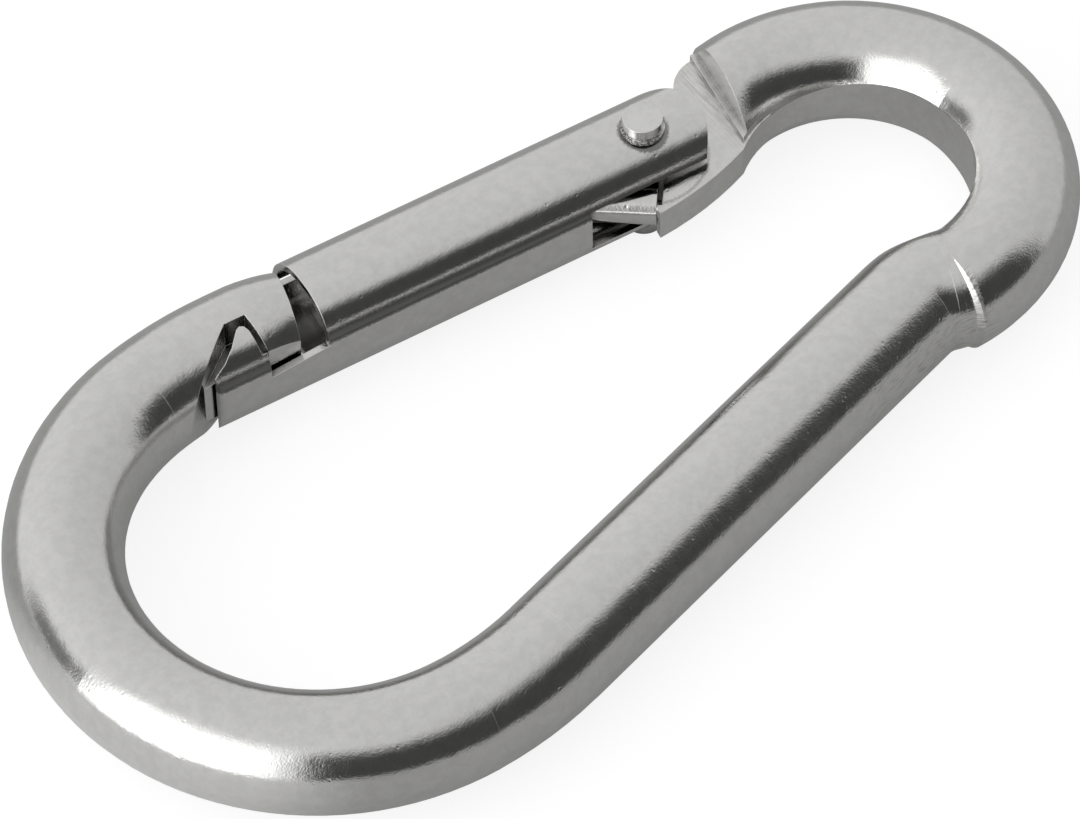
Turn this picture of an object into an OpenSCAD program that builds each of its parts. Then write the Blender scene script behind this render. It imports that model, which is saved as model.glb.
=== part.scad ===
// Pear-shaped spring snap hook, bent from round bar, with a folded sheet gate.
// Lengths are in millimetres. The hook lies flat: X runs from the large end to
// the small end, Y across, and Z is square to the plane of the bend.

/* [Bar] */
// Diameter of the bar
bar_d = 8; // [7:0.1:9]
// Radius of the large end, to the middle of the bar
big_r = 16.9; // [14:0.1:20]
// Radius of the easing arcs between the large end and the two legs
ease_r = 26; // [23:0.5:32]
// Angle that each easing arc turns through
ease_deg = 16; // [12:1:20]
// Lean of each leg towards the long axis
leg_deg = 9.6; // [8.5:0.1:10.5]
// Distance between the centres of the large and the small end
end_gap = 45.75; // [44:0.25:48]
// Radius of the small end, to the middle of the bar
small_r = 11.4; // [10.6:0.1:12]

/* [Small end] */
// Radius of the pressed seat inside the small end
seat_r = 7.75; // [7.6:0.05:7.9]
// Distance along the spine to the step at the joggle
joggle_s = 42.2; // [41.8:0.1:42.6]
// Radius of the joggle's two bends, to the middle of the bar
joggle_r = 5; // [4.7:0.1:6]

/* [Hinge] */
// Distance along the gate's leg to the hinge
hinge_s = 34.2; // [33:0.1:35]
// Distance of the hinge inside the gate's middle line
hinge_in = 0.9; // [0.5:0.1:1.2]
// Diameter of the rivet's shank
rivet_d = 2.4; // [2:0.1:2.6]
// Height that each end of the rivet stands above the gate
rivet_h = 1.2; // [0.6:0.1:1.6]
// Diameter of the peened collar at the foot of each end
collar_d = 3; // [2.8:0.1:3.6]
// Height of the peened collar
collar_h = 0.3; // [0.2:0.05:0.5]
// Running clearance of the rivet in the tang, on the radius
rivet_play = 0.05; // [0.03:0.01:0.09]

/* [Tang] */
// Thickness of the milled tang
tang_t = 2.5; // [2:0.1:3]
// Distance along the gate's leg to the tang's shoulder
shoulder_s = 41.4; // [41:0.1:42]
// Lean of the shoulder
shoulder_deg = 6; // [0:1:8]
// Distance by which the shoulder stands further back on the underside
under_step = 1.2; // [0:0.1:1.4]
// Radius of the tang's round end, about the hinge
tang_r = 3.7; // [3.3:0.1:4]

/* [Nose] */
// Distance along the leg to the end of the nose, at the middle of the bar
nose_s = 7.1; // [6.8:0.05:7.2]
// Lean of the nose's end face
nose_deg = 12; // [8:1:14]
// Thickness of the web behind the nose's head
web_t = 3.4; // [2.6:0.1:4]
// Distance of the head's lower face inside the bar's middle line
head_in = 3.2; // [3.1:0.05:3.2]

/* [Gate] */
// Distance of the gate's middle line inside the leg's middle line
gate_in = 0.16; // [0:0.02:0.3]
// Thickness of the sheet
sheet_t = 0.5; // [0.4:0.05:0.55]
// Distance of the gate's flat back from the gate's middle line
flat_in = 3.75; // [3.7:0.05:3.85]
// Outside radius of the two folds beside the gate's flat back
fold_r = 3; // [2.6:0.1:3.4]
// Width of the seam along the gate's outer side
seam_w = 0.8; // [0.6:0.1:2]
// Distance along the leg to the gate's shoulder
gate_s = 8.2; // [8:0.05:8.6]
// Distance along the leg to the end of the gate's back
back_s = 28.4; // [27:0.2:29]
// Radius of the cheeks' round ends, about the hinge
cheek_r = 4.35; // [4:0.05:4.6]
// Height of the neck's upper edge above the bar's middle plane
neck_z = 1; // [0.6:0.1:1.4]

/* [Plunger and spring] */
// Diameter of the plunger
plunger_d = 2.5; // [2.2:0.1:2.5]
// Slant of the plunger to the gate
plunger_deg = 35; // [34:1:36]
// Length of the plunger, from its flat end to the middle of its ball
plunger_l = 7.4; // [7.2:0.1:7.6]
// Diameter of the plunger's ball end
ball_d = 4.4; // [4.2:0.1:4.5]
// Outside diameter of the spring
spring_d = 4.8; // [4.6:0.1:5.2]
// Diameter of the spring's wire
wire_d = 0.7; // [0.5:0.05:0.8]
// Number of turns of the spring
turns = 11; // [9:1:13]

/* [Hidden] */
$fn = 96;
eps = 0.01;
far = 60;

bar_r = bar_d / 2;
// the easing is this much thinner in radius, so that each bend meets the next in a clean edge
bend_step = 0.01;
rivet_r = rivet_d / 2;

// the two easing arcs share the leg's line with the large end
leg_y = ease_r - (ease_r - big_r) * cos(ease_deg);
leg_s = (ease_r - big_r) * sin(ease_deg);
ease_from = 90 - leg_deg + ease_deg;

// middle of the whole part in plan, and the height of the bar's middle plane
mid_x = (end_gap + small_r - big_r) / 2;
mid_z = bar_r + rivet_h;

// the small end's centre, seen from the legs
eye_s = end_gap * cos(leg_deg);
eye_in = leg_y - end_gap * sin(leg_deg);
small_out = small_r + bar_r;

// the pressed seat stands a little to one side of the small end's own centre
seat_x = end_gap + 0.2;
seat_y = -0.2;

// relief beside the spine: the seat's circle, moved over and a little smaller
relief_r = seat_r - 0.35;
relief_over = 0.5;
relief_x = end_gap + relief_over;
relief_y = -0.9;

// the joggle: two equal bends, and a short straight between them, that carry the spine
// out to the small end's own line
joggle_out = max(small_r - eye_in, 0.2);
joggle_mid = 0.4;
joggle_sum = norm([2 * joggle_r, joggle_mid]);
joggle_deg = acos((2 * joggle_r - joggle_out) / joggle_sum) - atan2(joggle_mid, 2 * joggle_r);
joggle_back = 0.3;
joggle_lean = 26;
step_t = 0.75;
step_up = 0.05;
step_rise = 0.6;
step_l = 0.8;
step_before = 2;
turn_end = eye_s - joggle_back;
turn_s = turn_end - 2 * joggle_r * sin(joggle_deg) - joggle_mid * cos(joggle_deg);
// straight lengths of bar reach this far into the bends beside them
lap = 0.05;

// gate section
flat_inner = flat_in - sheet_t;
fold_t = fold_r - flat_in;
fold_z = bar_r - fold_r;
rivet_end_r = rivet_r + 0.16;
bore_r = rivet_r + rivet_play;
collar_r = collar_d / 2;
seam_half = seam_w / 2;

// the nose's pocket: a sloping wall, then its roof, then the back of the head
wall_in = 0.76;
wall_s = 2.1;
wall_run = 1.23;
head_s = 3.65;
head_lean = 0.14;
nose_round = 3.4;
nose_bevel = 0.4;
nose_over = 1.2;
nose_curve = (nose_round * nose_round + nose_bevel * nose_bevel) / (2 * nose_bevel);

// the gate's tooth, which stands in the pocket behind the head
tooth_s = 3.3;
tooth_in = 2;
tooth_lean = 0.09;
peak_s = 2.85;
peak_in = 1.47;
peak_half = 0.27;
peak_drop = 0.12;
neck_s = 3.8;
neck_slope = 5.5;
mid_s = 1.7;
mid_in = 2.5;
front_s = 0.83;
front_in = 3.1;
toe_s = -0.2;
toe_in = 3.5;
toe_round = 0.55;
floor_in = flat_inner + gate_in;
back_in = flat_in + gate_in;
gate_over = 1;

// the two ears, bent in from the seam, that hold the spring's fixed end
ear_s = 11;
ear_z = 0.4;
ear_top = 3.2;
ear_low = 1.4;

// the back stops short of the plunger, which leaves this half width between the cheeks
mouth_half = 1.85;
mouth_top = 2;

// heel: the tang's corner that pushes the plunger back, as a small round
heel_s = -1.25;
heel_in = 4.45;
heel_r = 0.35;
belly_r = 24;
belly_s = -3.38;
belly_out = 19.02;
tang_lip = 0.5;
tang_bend_s = 4.9;
tang_bend_t = 4.05;
tang_round = 3;
tang_round_s = 7.5;
tang_round_t = 2.6;
tang_end_t = 8.2;
tang_end = 9.2;
foot_w = 0.45;
foot_h = 0.35;
foot_top = 4.9;
foot_over = 1;

// plunger, measured square to and along its own line from the hinge
plunger_r = plunger_d / 2;
ball_r = ball_d / 2;
plunger_gap = 0.03;
heel_line = heel_s * cos(plunger_deg) + heel_in * sin(plunger_deg) - heel_r;
plunger_reach = heel_line - plunger_gap;
plunger_off = 3.28;
tang_clear = 0.15;
hollow = 0.35;
hollow_off = plunger_off + 0.75 * plunger_r;
open_deg = 28;
open_steps = 4;
slide_deg = 20;
slide_gain = 4.72;

// spring
coil_r = (spring_d - wire_d) / 2;
wire_r = wire_d / 2;
coil_t = -hinge_in + (plunger_l - plunger_reach) * sin(plunger_deg) - plunger_off * cos(plunger_deg);
ball_s = hinge_s + (plunger_reach - plunger_l) * cos(plunger_deg) - plunger_off * sin(plunger_deg);
coil_from = ear_s + sheet_t + wire_r + 0.02;
coil_to = ball_s - sqrt(pow(ball_r + wire_r + 0.02, 2) - pow(coil_r, 2));

// ---- frames ----

// The bend's own frame starts at the large end's centre, in the bar's middle plane.
module in_part() translate([-mid_x, 0, mid_z]) children();

// Each leg's frame: X along the leg to the small end, Y outward from the loop.
module gate_leg() rotate([0, 0, -leg_deg]) translate([0, leg_y, 0]) children();
module spine_leg() mirror([0, 1, 0]) gate_leg() children();
module at_hinge() gate_leg() translate([hinge_s, -hinge_in, 0]) children();
module at_eye() translate([end_gap, 0, 0]) children();
module at_seat() translate([seat_x, seat_y, 0]) children();

// Draws a section, given as outward and upward, along a leg.
module along_leg(from, to)
    translate([from, 0, 0])
        rotate([90, 0, 90])
            linear_extrude(to - from)
                children();

// Draws a plan outline through the whole height, or through part of it.
module through(h = far) linear_extrude(h, center = true) children();

// ---- bar ----

module ring_bar(radius, r = bar_r) rotate_extrude() translate([radius, 0]) circle(r);

// Everything on one side of the frame's own X axis, as a block.
module left_of() translate([-far, 0, -bar_d]) cube([2 * far, far, 2 * bar_d]);
module right_of() translate([-far, -far, -bar_d]) cube([2 * far, far, 2 * bar_d]);

// Half of the large end, its easing, and the straight leg up to a distance along it.
module half_loop(to) {
    intersection() {
        ring_bar(big_r);
        left_of();
        rotate([0, 0, ease_from]) left_of();
    }
    rotate([0, 0, ease_from])
        translate([big_r - ease_r, 0, 0]) {
            intersection() {
                ring_bar(ease_r, bar_r - bend_step);
                right_of();
                rotate([0, 0, -ease_deg]) left_of();
            }
            rotate([0, 0, -ease_deg])
                translate([ease_r, 0, 0])
                    rotate([90, 0, 0])
                        cylinder(r = bar_r, h = to - leg_s);
        }
}

// The small end starts at the joggle's step and ends at the tang's shoulder.
module small_end()
    difference() {
        at_eye() ring_bar(small_r);
        spine_leg() {
            translate([joggle_s - step_before - far, -far / 2, -far / 2]) cube(far);
            translate([joggle_s, step_t, 0]) rotate([0, 0, joggle_lean]) step_cut();
        }
        gate_leg() shoulder_cut();
        seat_cut();
    }

// The step's own plane, and the slope by which the small end rises from it.
module step_cut() {
    translate([-bar_d, -bar_d, -bar_d]) cube([bar_d, 2 * bar_d, 2 * bar_d]);
    rotate([0, 90, 0])
        difference() {
            translate([0, 0, -eps]) cylinder(r = bar_d, h = step_l + eps);
            cylinder(r1 = bar_r + step_up, r2 = bar_r + step_up + step_rise, h = step_l + eps);
        }
}

// The pressed seat, and the relief beside it.
module seat_cut() {
    at_seat() cylinder(r = seat_r, h = far, center = true);
    translate([relief_x, relief_y, 0]) cylinder(r = relief_r, h = far, center = true);
}

module shoulder_cut() {
    translate([shoulder_s, 0, 0])
        rotate([0, 0, -shoulder_deg])
            translate([-far, -far / 2, 0])
                cube(far);
    translate([shoulder_s + under_step, 0, 0])
        rotate([0, 0, -shoulder_deg])
            translate([-far, -far / 2, -far])
                cube(far);
}

// The joggle's first bend turns the spine out, and the second turns it back.
module joggle()
    spine_leg() {
        translate([turn_s, joggle_r, 0]) {
            intersection() {
                ring_bar(joggle_r, bar_r - bend_step);
                rotate([0, 0, -90]) left_of();
                rotate([0, 0, joggle_deg - 90]) right_of();
            }
            rotate([0, 0, joggle_deg])
                translate([-lap, -joggle_r, 0])
                    rotate([0, 90, 0])
                        cylinder(r = bar_r, h = joggle_mid + 2 * lap);
        }
        translate([turn_end, joggle_out - joggle_r, 0])
            intersection() {
                ring_bar(joggle_r, bar_r - bend_step);
                rotate([0, 0, 90]) left_of();
                rotate([0, 0, 90 + joggle_deg]) right_of();
            }
    }

module spine()
    difference() {
        union() {
            mirror([0, 1, 0]) half_loop(turn_s + lap);
            joggle();
        }
        seat_cut();
    }

// ---- tang ----

// Room that the plunger's rod sweeps as the gate opens.
module plunger_room()
    for (i = [0 : open_steps]) {
        turned = open_deg * i / open_steps;
        moved = slide_gain * turned * PI / 180;
        rotate(turned)
            translate([-moved * cos(slide_deg), moved * sin(slide_deg)])
                rotate(-plunger_deg)
                    translate([heel_line - far, -plunger_off - far])
                        square([far, far + plunger_r + tang_clear]);
    }

// The hollow behind the heel, which the plunger's end spans.
module heel_hollow()
    rotate(-plunger_deg)
        translate([heel_line - far, -hollow_off])
            square([far + hollow, hollow_off - plunger_off + plunger_r + tang_clear]);

module tang_outline()
    difference() {
        intersection() {
            translate([belly_s, belly_out]) circle(belly_r, $fn = 360);
            union() {
                circle(tang_r);
                translate([tang_round_s, tang_round_t]) circle(tang_round);
                intersection() {
                    translate([eye_s - hinge_s, hinge_in - eye_in])
                        circle(small_out - tang_lip, $fn = 360);
                    polygon([
                        [0, tang_r],
                        [tang_bend_s, tang_bend_t],
                        [tang_round_s, tang_bend_t],
                        [tang_round_s, tang_end_t],
                        [tang_end, tang_end_t],
                        [tang_end, -far],
                        [-tang_r / 2, -far],
                        [-tang_r / 2, 0],
                    ]);
                }
            }
        }
        plunger_room();
        heel_hollow();
        circle(bore_r);
    }

module tang()
    difference() {
        at_hinge() through(tang_t) tang_outline();
        at_seat() cylinder(r = seat_r, h = far, center = true);
    }

// A narrow step that the cutter left at the foot of the shoulder.
module shoulder_foot()
    difference() {
        intersection() {
            at_eye() ring_bar(small_r);
            through(tang_t + 2 * foot_h) at_eye() circle(small_out);
            gate_leg()
                translate([shoulder_s - foot_w, 0, 0])
                    rotate([0, 0, -shoulder_deg])
                        translate([0, -eye_in, -far / 2])
                            cube([foot_w + under_step + foot_over, eye_in + foot_top, far]);
        }
        at_seat() cylinder(r = seat_r, h = far, center = true);
    }

// ---- nose ----

// The head's barrelled form, about its own axis, from its widest place up.
module nose_form()
    rotate_extrude()
        intersection() {
            translate([bar_r + bend_step - nose_curve, 0]) circle(nose_curve, $fn = 360);
            translate([0, -bar_r]) square([bar_d, 2 * bar_d]);
        }

module nose_cuts() {
    // the two pockets, one each side of the web
    difference() {
        through() polygon([
            [wall_s, -wall_in],
            [head_s, -wall_in],
            [head_s + head_lean * (head_in - wall_in), -head_in],
            [wall_s - wall_run * (head_in - wall_in), -head_in],
        ]);
        cube([far, far, web_t], center = true);
    }
    // everything below the head's lower face, back to the same sloping wall
    through() polygon([
        [wall_s - wall_run * (head_in - wall_in), -head_in],
        [far, -head_in],
        [far, -bar_d],
        [wall_s - wall_run * (bar_d - wall_in), -bar_d],
    ]);
    translate([nose_s, 0, 0]) {
        rotate([0, 0, -nose_deg])
            rotate([0, 90, 0])
                cylinder(r = bar_d, h = bar_d);
        translate([-nose_round, 0, 0])
            rotate([0, 90, 0])
                difference() {
                    cylinder(r = bar_d, h = nose_round + nose_over);
                    nose_form();
                }
    }
}

module hook_body()
    color("silver")
        in_part() {
            difference() {
                half_loop(nose_s + bar_r);
                gate_leg() nose_cuts();
            }
            spine();
            small_end();
            tang();
            shoulder_foot();
        }

// ---- gate ----

// The folded tube: round outside, flat towards the loop, with a fold on each side of the flat.
module tube_section(inset = 0)
    intersection() {
        union() {
            circle(bar_r - inset);
            translate([fold_t, inset - bar_r]) square([-fold_t, 2 * (bar_r - inset)]);
            for (side = [-1, 1])
                translate([fold_t, side * fold_z]) circle(fold_r - inset);
            translate([-bar_r, -fold_z]) square([bar_r, 2 * fold_z]);
        }
        translate([inset - flat_in, -bar_d]) square(2 * bar_d);
    }

module gate_section()
    difference() {
        tube_section();
        tube_section(sheet_t);
        translate([0, -seam_half]) square([far, seam_w]);
    }

// The gate's side view: what is kept of the folded sheet, in the leg's own frame.
module gate_profile() {
    difference() {
        gate_outline();
        // the round at the toe's corner
        translate([toe_s - toe_round, -back_in - toe_round])
            difference() {
                square(2 * toe_round);
                translate([2 * toe_round, 2 * toe_round]) circle(toe_round);
            }
    }
    translate([hinge_s, -hinge_in]) circle(cheek_r, $fn = 180);
}

module gate_outline()
    polygon([
        [tooth_s, -tooth_in],
        [tooth_s + tooth_lean * (floor_in - tooth_in), -floor_in],
        [gate_s, -floor_in],
        [gate_s, far],
        [hinge_s, far],
        [hinge_s, -far],
        [toe_s, -far],
        [toe_s, -toe_in],
        [front_s, -front_in],
        [mid_s, -mid_in],
        [peak_s - peak_half, -peak_in - peak_drop],
        [peak_s, -peak_in],
        [peak_s + peak_half, -peak_in - peak_drop],
    ]);

module gate()
    color("gainsboro")
        in_part()
            gate_leg()
                difference() {
                    union() {
                        intersection() {
                            translate([0, -gate_in, 0])
                                along_leg(toe_s - gate_over, hinge_s + cheek_r + gate_over)
                                    gate_section();
                            through() gate_profile();
                        }
                        ears();
                    }
                    // the upper side is cut lower, to a neck beside the nose's head
                    translate([neck_s, -far / 2, neck_z])
                        cube([gate_s - neck_s, far, far]);
                    // and the neck slopes down from the shoulder to the tooth
                    intersection() {
                        translate([neck_s, -far, 0]) cube([gate_s - neck_s, 2 * far, far]);
                        translate([gate_s, -far, neck_z])
                            rotate([0, -neck_slope, 0])
                                translate([-bar_d, 0, 0])
                                    cube([2 * bar_d, 2 * far, far]);
                    }
                    // the mouth that the tang and the plunger pass through
                    translate([back_s, -far, -mouth_half])
                        cube([far, far - mouth_top, 2 * mouth_half]);
                    translate([hinge_s, -hinge_in, 0])
                        cylinder(r = rivet_r, h = far, center = true);
                }

// The two ears: sheet bent square across the inside, one from each edge of the seam.
module ears()
    translate([0, -gate_in, 0])
        difference() {
            along_leg(ear_s, ear_s + sheet_t)
                intersection() {
                    tube_section(sheet_t / 2);
                    translate([-ear_low, -far / 2]) square([ear_low + ear_top, far]);
                }
            cube([far, far, 2 * ear_z], center = true);
        }

// ---- rivet ----

module pivot_rivet()
    color("lightgray")
        in_part()
            at_hinge()
                for (side = [0, 1])
                    mirror([0, 0, side]) {
                        cylinder(r = rivet_r, h = bar_r);
                        translate([0, 0, bar_r]) cylinder(r = collar_r, h = collar_h);
                        translate([0, 0, bar_r]) cylinder(r = rivet_end_r, h = rivet_h);
                    }

// ---- plunger ----

module spring_plunger()
    color("silver")
        in_part()
            at_hinge()
                rotate([0, 0, -plunger_deg])
                    translate([plunger_reach, -plunger_off, 0]) {
                        rotate([0, -90, 0]) {
                            cylinder(r = plunger_r, h = plunger_l);
                            translate([0, 0, plunger_l]) sphere(ball_r);
                        }
                    }

// ---- spring ----

coil_sides = 6;
coil_steps = 18;
coil_n = turns * coil_steps;
coil_pitch = (coil_to - coil_from) / turns;
coil_lean = atan2(coil_pitch, 2 * PI * coil_r);

// One corner of the wire's own section, at step i round the coil.
function coil_corner(i, k) =
    let (
        a = 360 * i / coil_steps,
        b = 360 * k / coil_sides,
        out = coil_r + wire_r * cos(b),
        up = wire_r * sin(b)
    )
    [
        out * cos(a) + up * sin(coil_lean) * sin(a),
        out * sin(a) - up * sin(coil_lean) * cos(a),
        (coil_to - coil_from) * i / coil_n + up * cos(coil_lean),
    ];

coil_points = [for (i = [0 : coil_n]) for (k = [0 : coil_sides - 1]) coil_corner(i, k)];

coil_faces = concat(
    [[for (k = [0 : coil_sides - 1]) k]],
    [for (i = [0 : coil_n - 1]) for (k = [0 : coil_sides - 1]) [
        i * coil_sides + k,
        (i + 1) * coil_sides + k,
        (i + 1) * coil_sides + (k + 1) % coil_sides,
        i * coil_sides + (k + 1) % coil_sides,
    ]],
    [[for (k = [coil_sides - 1 : -1 : 0]) coil_n * coil_sides + k]]
);

module gate_spring()
    color("dimgray")
        in_part()
            gate_leg()
                translate([coil_from, coil_t, 0])
                    rotate([0, 90, 0])
                        polyhedron(coil_points, coil_faces, convexity = 10);

hook_body();
gate();
pivot_rivet();
spring_plunger();
gate_spring();
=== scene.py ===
import math

import bpy
from mathutils import Matrix, Vector


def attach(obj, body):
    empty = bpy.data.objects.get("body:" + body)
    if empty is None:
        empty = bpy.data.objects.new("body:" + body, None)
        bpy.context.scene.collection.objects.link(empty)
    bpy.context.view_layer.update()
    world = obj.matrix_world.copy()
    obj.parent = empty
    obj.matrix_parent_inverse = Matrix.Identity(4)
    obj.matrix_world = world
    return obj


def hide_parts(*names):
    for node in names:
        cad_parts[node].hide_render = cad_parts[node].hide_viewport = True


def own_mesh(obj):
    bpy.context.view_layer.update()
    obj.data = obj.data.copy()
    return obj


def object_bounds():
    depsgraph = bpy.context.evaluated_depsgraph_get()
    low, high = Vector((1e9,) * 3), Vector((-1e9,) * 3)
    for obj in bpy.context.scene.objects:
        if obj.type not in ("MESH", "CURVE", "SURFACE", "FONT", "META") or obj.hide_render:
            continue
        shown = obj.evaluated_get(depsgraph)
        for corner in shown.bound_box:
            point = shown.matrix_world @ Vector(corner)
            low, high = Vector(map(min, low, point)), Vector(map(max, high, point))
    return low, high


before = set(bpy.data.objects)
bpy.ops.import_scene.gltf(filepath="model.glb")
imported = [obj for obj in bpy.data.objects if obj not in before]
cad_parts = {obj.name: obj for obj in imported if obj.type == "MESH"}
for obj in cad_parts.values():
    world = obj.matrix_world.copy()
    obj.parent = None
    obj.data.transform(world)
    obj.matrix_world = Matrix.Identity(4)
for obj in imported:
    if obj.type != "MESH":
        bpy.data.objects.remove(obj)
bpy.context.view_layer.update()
scene = bpy.context.scene

# ---- the part's own lines ----

MM = 0.001
# The large end's centre, in the bar's middle plane, in metres.
LARGE_END = Vector((-0.020125, 0.0, 0.0052))
# The lean of the two legs, and how far their middle lines pass from that centre, in millimetres.
LEG_LEAN = math.radians(9.6)
LEG_OUT = 17.2525
# The hinge: along the gate's leg, and inward from its middle line, in millimetres.
HINGE_S = 34.2
HINGE_IN = 0.9
# The lean of the tang's shoulder.
SHOULDER_LEAN = math.radians(6)

# ---- camera ----

# The camera's turn, height and roll, in degrees.
CAM_TURN = 39.29
CAM_UP = 50.90
CAM_ROLL = 1.72
# Where it stands from the large end's centre, along its own right, up and back, in bar radii.
CAM_OFFSET = Vector((3.487, 2.156, 129.37))
BAR_R = 0.004
SENSOR = 36.0
LENS = 266.66667
CLIP_NEAR = 0.05
CLIP_FAR = 20
# The bearing from the part to the camera, which the studio is placed from.
CAM_BEARING = math.radians(-90 - CAM_TURN)

turn = (Matrix.Rotation(math.radians(-CAM_TURN), 3, "Z")
        @ Matrix.Rotation(math.radians(90 - CAM_UP), 3, "X")
        @ Matrix.Rotation(math.radians(-CAM_ROLL), 3, "Z"))
cam_data = bpy.data.cameras.new("camera")
cam_data.sensor_fit = "HORIZONTAL"
cam_data.sensor_width = SENSOR
cam_data.lens = LENS
cam_data.clip_start = CLIP_NEAR
cam_data.clip_end = CLIP_FAR
camera = bpy.data.objects.new("camera", cam_data)
cam_place = LARGE_END + turn @ CAM_OFFSET * BAR_R
camera.matrix_world = Matrix.Translation(cam_place) @ turn.to_4x4()
scene.collection.objects.link(camera)
scene.camera = camera
scene.view_settings.view_transform = "Standard"


# ---- node helpers ----

class Nodes:
    """Adds nodes to a tree. A socket or a number can be given for any input."""

    def __init__(self, tree):
        self.tree = tree
        tree.nodes.clear()

    def put(self, socket, value):
        if isinstance(value, bpy.types.NodeSocket):
            self.tree.links.new(value, socket)
        else:
            socket.default_value = value

    def add(self, kind, out=0, inputs=None, **settings):
        node = self.tree.nodes.new("ShaderNode" + kind)
        for key, value in settings.items():
            setattr(node, key, value)
        for key, value in (inputs or {}).items():
            self.put(node.inputs[key], value)
        return node.outputs[out]

    def output(self, kind, shader):
        """Joins a shader to the output of the tree."""
        end = self.tree.nodes.new("ShaderNodeOutput" + kind)
        self.put(end.inputs[0], shader)

    def math(self, op, a, b=0.0):
        return self.add("Math", inputs={0: a, 1: b}, operation=op)

    def plus(self, a, b):
        return self.math("ADD", a, b)

    def minus(self, a, b):
        return self.math("SUBTRACT", a, b)

    def times(self, a, b):
        return self.math("MULTIPLY", a, b)

    def vector(self, op, a, b=None, out=0):
        inputs = {0: a} if b is None else {0: a, 1: b}
        return self.add("VectorMath", out=out, inputs=inputs, operation=op)

    def dot(self, a, b):
        return self.vector("DOT_PRODUCT", a, b, out="Value")

    def split(self, vector):
        node = self.tree.nodes.new("ShaderNodeSeparateXYZ")
        self.put(node.inputs[0], vector)
        return tuple(node.outputs)

    def mix(self, share, a, b):
        return self.add("Mix", out=0, inputs={0: share, 2: a, 3: b}, data_type="FLOAT")

    def blend(self, share, colour, over):
        return self.add("Mix", out=2, inputs={0: share, 6: colour, 7: over}, data_type="RGBA")

    def ramp(self, value, lo, hi, to_lo=0.0, to_hi=1.0, kind="SMOOTHSTEP"):
        return self.add("MapRange", inputs={0: value, 1: lo, 2: hi, 3: to_lo, 4: to_hi},
                        interpolation_type=kind)

    def ragged(self, noise, by):
        """The middle range of a noise, spread evenly from -by to by."""
        return self.ramp(noise, 0.3, 0.7, -by, by, "LINEAR")

    def window(self, value, lo, hi, soft_lo, soft_hi):
        """1 between lo and hi, falling to 0 over the two soft widths."""
        up = self.ramp(value, lo - soft_lo, lo + soft_lo)
        down = self.ramp(value, hi - soft_hi, hi + soft_hi, 1.0, 0.0)
        return self.times(up, down)

    def light_path(self, which):
        return self.add("LightPath", out=which)


def flat_grey(v):
    return (v, v, v, 1)


def warm_grey(v):
    return (v, v * 0.99, v * 0.97, 1)


# ---- studio ----

# The tent's level, and how much of it is lost towards the camera's right.
TENT = 0.70
TENT_FALL = -0.13
# What stands in the tent: its level, where it starts and ends round the part and above the
# horizon, and how soft those four edges are. Angles are in degrees from the camera's bearing.
BRIGHT_CARD = {"level": 2.4, "side": (-78, -20), "up": (-20, 50), "soft": (8, 13, 5, 17)}
GREY_CLOTH = {"level": 0.20, "side": (-110, -82), "up": (2, 26), "soft": (7, 4, 4, 7)}
BLACK_CLOTH = {"level": 0.058, "side": (-8, 91), "up": (-20, 47), "soft": (5, 6, 5, 11)}
BACKDROP = 1.0

world = bpy.data.worlds.new("studio")
world.use_nodes = True
scene.world = world
n = Nodes(world.node_tree)
seen = n.add("TexCoord", out="Generated")
seen = n.add("VectorRotate", inputs={"Vector": seen, "Angle": -CAM_BEARING},
             rotation_type="Z_AXIS")
ahead, sideways, upward = n.split(seen)
side = n.math("DEGREES", n.math("ARCTAN2", sideways, ahead))
height = n.math("DEGREES", n.math("ARCSINE", upward))

room = n.plus(n.times(sideways, TENT_FALL), TENT)
for thing in (BRIGHT_CARD, GREY_CLOTH, BLACK_CLOTH):
    soft = thing["soft"]
    inside = n.times(n.window(side, *thing["side"], *soft[:2]),
                     n.window(height, *thing["up"], *soft[2:]))
    room = n.mix(inside, room, thing["level"])

backdrop = n.math("MAXIMUM", n.light_path("Is Camera Ray"), n.light_path("Is Transmission Ray"))
level = n.mix(backdrop, room, BACKDROP)
n.output("World", n.add("Background", inputs={"Color": flat_grey(1), "Strength": level}))

# ---- floor ----

FLOOR_HALF = 3.0
FLOOR_DROP = 0.00002
# The share of the white floor that the metal shows, over the table's grey and its painted sheen.
MIRRORED = 0.2
# The table's own grey, and a paler grey in front of the bright card, which is a painted sheen of
# the card's light.
TABLE_GREY = 0.26
TABLE_CARD_SHEEN = 0.75
# How squarely a place has to face the card to start and to end that painted sheen.
CARD_SHEEN_FROM = 0.55
CARD_SHEEN_TO = 0.95
CARD_WAY = CAM_BEARING + math.radians(-45)
# What the camera sees: a grey that keeps the shadow, and a glow that lifts it to white.
SHADOW_GREY = 0.25
SHADOW_LIFT = 0.85

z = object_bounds()[0][2] - FLOOR_DROP
corners = [(x * FLOOR_HALF, y * FLOOR_HALF, z) for x, y in ((-1, -1), (1, -1), (1, 1), (-1, 1))]
mesh = bpy.data.meshes.new("floor")
mesh.from_pydata(corners, [], [(0, 1, 2, 3)])
floor = bpy.data.objects.new("floor", mesh)
scene.collection.objects.link(floor)

paper = bpy.data.materials.new("floor_paper")
paper.use_nodes = True
n = Nodes(paper.node_tree)
around = n.vector("ADD", n.add("NewGeometry", out="Position"), tuple(-LARGE_END))
around = n.vector("NORMALIZE", around)
facing = n.dot(around, (math.cos(CARD_WAY), math.sin(CARD_WAY), 0.0))
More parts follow.
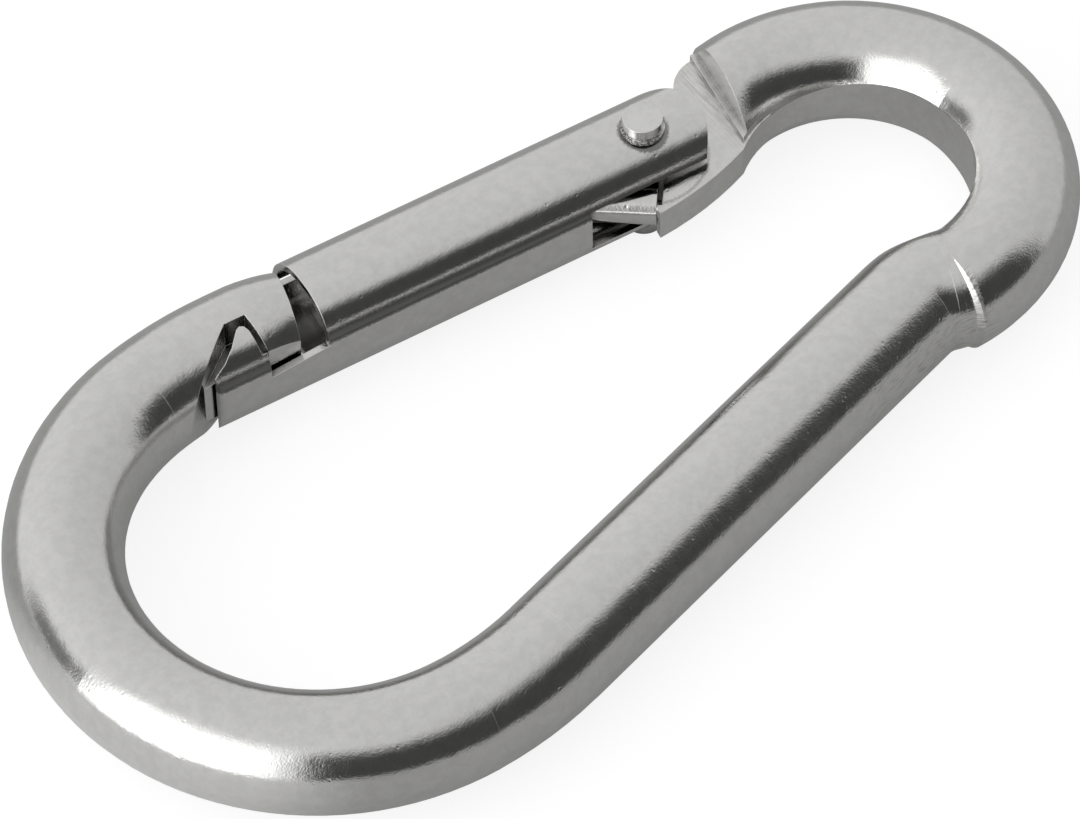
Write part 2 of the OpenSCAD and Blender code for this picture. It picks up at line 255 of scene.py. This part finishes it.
# painted sheen: the table is paler where it faces the bright card
table = n.ramp(facing, CARD_SHEEN_FROM, CARD_SHEEN_TO, TABLE_GREY, TABLE_CARD_SHEEN)
plain = n.add("BsdfDiffuse", inputs={"Color": table})
shadowed = n.add("BsdfDiffuse", inputs={"Color": flat_grey(SHADOW_GREY)})
glow = n.add("Emission", inputs={"Color": flat_grey(1), "Strength": SHADOW_LIFT})
white = n.add("AddShader", inputs={0: shadowed, 1: glow})
backdrop = n.math("MAXIMUM", n.light_path("Is Camera Ray"), n.light_path("Is Transmission Ray"))
backdrop = n.math("MAXIMUM", backdrop, n.times(n.light_path("Is Glossy Ray"), MIRRORED))
n.output("Material", n.add("MixShader", inputs={0: backdrop, 1: plain, 2: white}))
mesh.materials.append(paper)

# ---- plated steel ----

# Sizes are in millimetres, here and in the marks below.
FINE = 0.15
SLOW = 1.1
TONE = 0.9
PIT = 0.9
PIT_DEEP = 0.010
# How far away a surface still casts the painted shade into a corner.
PAINTED_SHADE_REACH = 2.0
# How far the rounded normal leaves the flat one where an edge starts to be worn, and is fully so.
WORN_FROM = 0.91
WORN_FULL = 0.78
WORN_DULL = 0.22
# The share of open sky at which a corner takes the full painted shade, and at which it takes
# none.
PAINTED_SHADE_FULL = 0.22
PAINTED_SHADE_NONE = 0.74
# The colour of the painted shade in corners, and of worn edges.
PAINTED_SHADE_COLOUR = (0.075, 0.073, 0.070, 1)
WORN_COLOUR = (0.93, 0.925, 0.91, 1)
SAMPLES = 8


def noise(n, where, size, detail, rough):
    return n.add("TexNoise", inputs={"Vector": where, "Scale": 1 / (size * MM),
                                     "Detail": detail, "Roughness": rough})


def bump(n, normal, height, strength, deep):
    return n.add("Bump", inputs={"Height": height, "Strength": strength,
                                 "Distance": deep * MM, "Normal": normal})


def plated_steel(name, tint, rough, grain, peel, edge, marks=None, wear=0.10):
    """Plated steel: a fine grain over a slow orange peel, bright worn edges, painted shade in
    corners.

    grain and peel are heights, edge and wear are radii, all in millimetres. marks adds what only
    one piece has: it takes and gives back the colour and the roughness.
    """
    m = bpy.data.materials.new(name)
    m.use_nodes = True
    n = Nodes(m.node_tree)
    where = n.add("TexCoord", out="Object")
    fine = noise(n, where, FINE, 2.0, 0.6)
    slow = noise(n, where, SLOW, 2.0, 0.5)
    tone = noise(n, where, TONE, 6.0, 0.7)
    pits = n.add("TexVoronoi", inputs={"Vector": where, "Scale": 1 / (PIT * MM)}, feature="F1")
    pits = n.ramp(pits, 0.05, 0.16)

    # edges: where the rounded normal leaves the flat one
    rounded = n.add("Bevel", inputs={"Radius": wear * MM}, samples=SAMPLES)
    worn = n.dot(n.add("NewGeometry", out="Normal"), rounded)
    worn = n.ramp(n.plus(worn, n.ragged(fine, 0.05)), WORN_FROM, WORN_FULL)

    # corners: painted shade where little open sky is left close by
    sky = n.add("AmbientOcclusion", out="AO", inputs={"Distance": PAINTED_SHADE_REACH * MM},
                samples=SAMPLES)
    unshaded = n.ramp(n.plus(sky, n.ragged(tone, 0.06)), PAINTED_SHADE_FULL, PAINTED_SHADE_NONE)

    normal = n.add("Bevel", inputs={"Radius": edge * MM}, samples=SAMPLES)
    normal = bump(n, normal, slow, 1.0, peel)
    normal = bump(n, normal, pits, 0.6, PIT_DEEP)
    normal = bump(n, normal, fine, 1.0, grain)

    light = tuple(min(1.0, c * 1.03) for c in tint) + (1,)
    dark = tuple(c * 0.95 for c in tint) + (1,)
    colour = n.blend(n.ramp(tone, 0.35, 0.65), dark, light)
    # painted shade: corners are darkened towards a near-black grey
    colour = n.blend(unshaded, PAINTED_SHADE_COLOUR, colour)
    colour = n.blend(worn, colour, WORN_COLOUR)
    gloss = n.ramp(tone, 0.3, 0.7, rough * 0.92, rough * 1.1)
    gloss = n.plus(gloss, n.times(worn, WORN_DULL))
    if marks:
        colour, gloss = marks(n, where, colour, gloss, fine)
    n.output("Material", n.add("BsdfPrincipled", inputs={
        "Base Color": colour, "Metallic": 1.0, "Roughness": gloss, "Normal": normal}))
    return m


# ---- marks ----

def leg_frame(n, where, side):
    """Millimetres along a leg, outward from its middle line, and up.

    side is 1 for the gate's leg and -1 for the spine.
    """
    local = n.vector("ADD", where, tuple(-LARGE_END))
    local = n.add("VectorMath", inputs={0: local, "Scale": 1 / MM}, operation="SCALE")
    c, s = math.cos(LEG_LEAN), math.sin(LEG_LEAN)
    along = n.dot(local, (c, -side * s, 0.0))
    out = n.minus(n.dot(local, (s, side * c, 0.0)), LEG_OUT)
    return along, out, n.split(local)[2]


def hinge_ring(n, s, t, fine, r_from, r_to):
    """A ragged ring about the hinge's axis."""
    from_hinge = n.plus(n.math("POWER", n.minus(s, HINGE_S), 2.0),
                        n.math("POWER", n.plus(t, HINGE_IN), 2.0))
    r = n.plus(n.math("SQRT", from_hinge), n.ragged(fine, 0.10))
    return n.window(r, r_from, r_to, 0.06, 0.10)


def gate_marks(n, where, colour, gloss, fine):
    """A painted dark reflection along the upper fold, and the crater round the rivet's collar."""
    s, t, z = leg_frame(n, where, 1)
    # painted reflection: the upper fold is darkened as if it mirrored the loop's shaded inside
    fold = n.window(n.plus(z, n.ragged(fine, 0.12)), 1.2, 2.3, 0.1, 0.3)
    fold = n.times(fold, n.ramp(t, -2.0, -2.6))
    colour = n.blend(n.times(fold, 0.8), colour, warm_grey(0.09))
    crater = hinge_ring(n, s, t, fine, 1.3, 1.72)
    colour = n.blend(n.times(crater, 0.8), colour, warm_grey(0.16))
    return colour, n.plus(gloss, n.times(crater, 0.15))


def rivet_marks(n, where, colour, gloss, fine):
    """The collar and the foot of each end are torn by the peening tool."""
    z = leg_frame(n, where, 1)[2]
    foot = n.window(n.math("ABSOLUTE", z), 3.8, 4.42, 0.05, 0.12)
    torn = n.times(foot, n.ramp(fine, 0.46, 0.56))
    colour = n.blend(n.times(torn, 0.85), colour, warm_grey(0.12))
    return colour, n.plus(gloss, n.times(foot, 0.1))


def tang_marks(n, where, colour, gloss, fine):
    """The cutter's fine lines beside the tang's shoulder, and a dark arc round the hinge, which
    is a painted shadow of the cheeks' ends on the tang.
    """
    s, t, z = leg_frame(n, where, 1)
    face = n.times(n.window(n.math("ABSOLUTE", z), 1.1, 1.4, 0.05, 0.05),
                   n.window(s, 33, 43, 0.5, 0.5))
    # lines run along the shoulder, so the noise is drawn out along it
    off = n.plus(n.times(s, math.cos(SHOULDER_LEAN)), n.times(t, math.sin(SHOULDER_LEAN)))
    lines = n.add("CombineXYZ", inputs={0: off, 1: n.times(t, 0.06)})
    lines = n.add("TexNoise", inputs={"Vector": lines, "Scale": 4.5, "Detail": 3.0,
                                      "Roughness": 0.55})
    near = n.times(face, n.ramp(off, 38.5, 41.5))
    colour = n.blend(n.times(near, n.ramp(lines, 0.52, 0.62, 0.0, 0.55)), colour,
                     warm_grey(0.42))
    colour = n.blend(n.times(near, n.ramp(lines, 0.46, 0.38, 0.0, 0.8)), colour,
                     warm_grey(0.92))
    # painted shadow: a dark arc round the hinge, where the cheeks' ends shade the tang
    cheek_shadow_arc = n.times(hinge_ring(n, s, t, fine, 4.25, 4.5), face)
    return n.blend(n.times(cheek_shadow_arc, 0.45), colour, warm_grey(0.22)), gloss


def spine_marks(n, where, colour, gloss):
    """The white burr on the joggle's step, and the lines that the press drew along the spine."""
    s, t, z = leg_frame(n, where, -1)
    turned = n.math("DEGREES", n.math("ARCTAN2", z, n.minus(t, 0.9)))
    # streaks run along the spine, so the noise is drawn out along s and fine round the bar
    streak = n.add("CombineXYZ", inputs={0: n.times(s, 0.25), 1: n.times(turned, 0.11)})
    streak = n.add("TexNoise", inputs={"Vector": streak, "Scale": 4.0, "Detail": 3.0,
                                       "Roughness": 0.6})
    step = n.plus(n.plus(s, n.times(t, 0.47)), n.ragged(streak, 0.14))
    burr = n.times(n.window(step, 42.72, 43.42, 0.10, 0.10), n.window(turned, 2, 62, 7, 6))
    white = n.blend(n.ramp(streak, 0.36, 0.56), warm_grey(0.45), warm_grey(0.98))
    colour = n.blend(burr, colour, white)
    gloss = n.plus(gloss, n.times(burr, 0.35))
    lines = n.times(n.window(s, 30, 41.6, 4, 0.5), n.window(turned, -28, 42, 10, 8))
    lines = n.times(lines, n.ramp(streak, 0.52, 0.66))
    return n.blend(n.times(lines, 0.55), colour, warm_grey(0.32)), gloss


def hook_marks(n, where, colour, gloss, fine):
    colour, gloss = spine_marks(n, where, colour, gloss)
    return tang_marks(n, where, colour, gloss, fine)


# ---- looks ----

STEEL = (0.74, 0.735, 0.72)
RIVET_STEEL = (0.78, 0.775, 0.76)
SPRING_STEEL = (0.45, 0.45, 0.44)
looks = {
    "hook_body": plated_steel("hook_plate", STEEL, 0.14, 0.0095, 0.016, 0.06, hook_marks),
    "gate": plated_steel("gate_plate", STEEL, 0.14, 0.0085, 0.012, 0.06, gate_marks, wear=0.17),
    "pivot_rivet": plated_steel("rivet_plate", RIVET_STEEL, 0.20, 0.006, 0.010, 0.06,
                                rivet_marks),
    "spring_plunger": plated_steel("plunger_plate", STEEL, 0.16, 0.005, 0.008, 0.05),
    "gate_spring": plated_steel("spring_wire", SPRING_STEEL, 0.25, 0.003, 0.006, 0.03),
}
for name, look in looks.items():
    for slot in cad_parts[name].material_slots:
        slot.material = look

# ---- the coil ----

# It gets a mesh of its own that moves with the gate, and where its points lie along the leg is
# read off.
coil_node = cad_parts["gate_spring"]
coil = bpy.data.objects.new("spring_coil", coil_node.data.copy())
coil.matrix_world = coil_node.matrix_world.copy()
scene.collection.objects.link(coil)
along = Vector((math.cos(LEG_LEAN), -math.sin(LEG_LEAN), 0))
ends = [along.dot(coil.matrix_world @ v.co) for v in coil.data.vertices]
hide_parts("gate_spring")
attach(coil, "gate")
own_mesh(coil)
